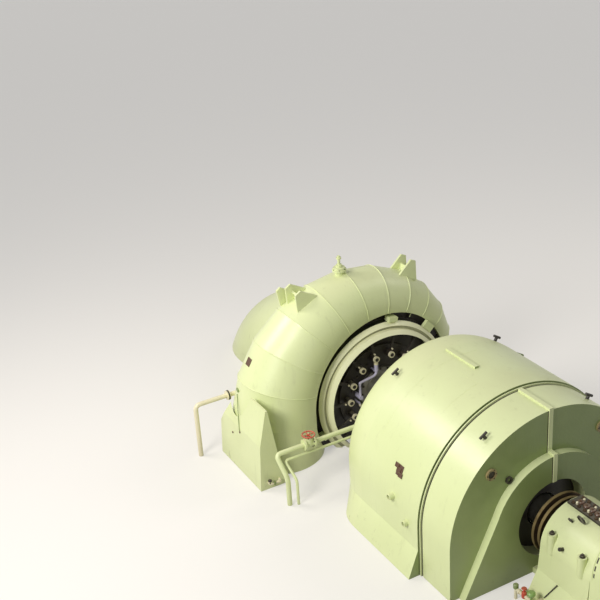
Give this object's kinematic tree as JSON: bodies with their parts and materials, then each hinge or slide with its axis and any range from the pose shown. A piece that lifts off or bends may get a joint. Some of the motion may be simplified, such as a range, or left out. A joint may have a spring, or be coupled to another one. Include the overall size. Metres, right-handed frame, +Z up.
{
  "type": "hydroelectric generator",
  "caption": "Horizontal hydroelectric turbine and generator set with spiral case, guide vane gear, draft tube, barrel housing, split end shield, outboard bearing and guard.",
  "frame": {"origin": "on the floor, under the shaft, in the middle of the generator housing's underside plane at the point where x, y and z are 0", "axes": "+X along the shaft from the turbine to the guard, +Z up, +Y to the far side, away from the inlet leg"},
  "size_m": [11.0811, 4.416, 3.0805],
  "materials": {
    "paint_pale_green": "semi-gloss pale yellow-green machine enamel",
    "paint_deep_green": "semi-gloss deeper green machine enamel",
    "black_iron": "black-brown painted casting, oily",
    "bright_steel": "machined, lightly oiled",
    "bronze": "dull bronze",
    "brown_plate": "brown plate",
    "grey_pipe": "lilac-grey paint",
    "cream_pipe": "cream paint",
    "red_wheel": "red enamel"
  },
  "bodies": {
    "set": {"spiral_case": "paint_pale_green", "inlet_leg": "paint_pale_green", "foot_plates": "paint_pale_green", "foot_base": "paint_pale_green", "stay_ring": "black_iron", "head_cover": "black_iron", "vane_stems": "black_iron", "vane_levers": "black_iron", "regulating_ring": "paint_pale_green", "ring_lugs": "paint_pale_green", "governor_rod": "paint_deep_green", "seal_housing": "bright_steel", "seal_pipes": "grey_pipe", "draft_cone": "paint_pale_green", "draft_elbow": "paint_pale_green", "lug_front": "paint_pale_green", "lug_back": "paint_pale_green", "lug_far": "paint_pale_green", "air_valve": "paint_pale_green", "stator_housing": "paint_pale_green", "turbine_end": "paint_pale_green", "turbine_bearing": "paint_pale_green", "joint_band": "paint_deep_green", "shield_near": "paint_pale_green", "shield_far": "paint_pale_green", "shield_bars": "paint_pale_green", "plate_near": "paint_deep_green", "plate_far": "paint_deep_green", "port_rings": "bronze", "lifting_hooks": "black_iron", "side_fittings": "black_iron", "nameplates": "brown_plate", "hub_disc": "black_iron", "bedplate": "paint_pale_green", "bearing_pedestal": "paint_pale_green", "bearing_cap": "paint_pale_green", "oil_fittings": "black_iron", "guard": "paint_pale_green", "end_housing": "paint_deep_green", "cooling_pipe": "paint_pale_green", "drain_pipe": "paint_deep_green", "water_stub": "cream_pipe", "valve_body": "paint_pale_green"},
    "rotor": {"main_shaft": "bright_steel", "turbine_coupling": "bright_steel", "generator_coupling": "bright_steel", "shaft_rings": "bronze"},
    "handwheel": {"handwheel": "red_wheel"}
  },
  "joints": [
    {"name": "shaft_spin", "type": "hinge", "parent": "set", "child": "rotor", "pos_m": [0, 0, 0.725], "axis": [1, 0, 0], "continuous": true},
    {"name": "valve_turn", "type": "hinge", "parent": "set", "child": "handwheel", "pos_m": [-1.56, -1.7, 0.895], "axis": [0, 0, 1], "range_deg": [0, 720]}
  ]
}
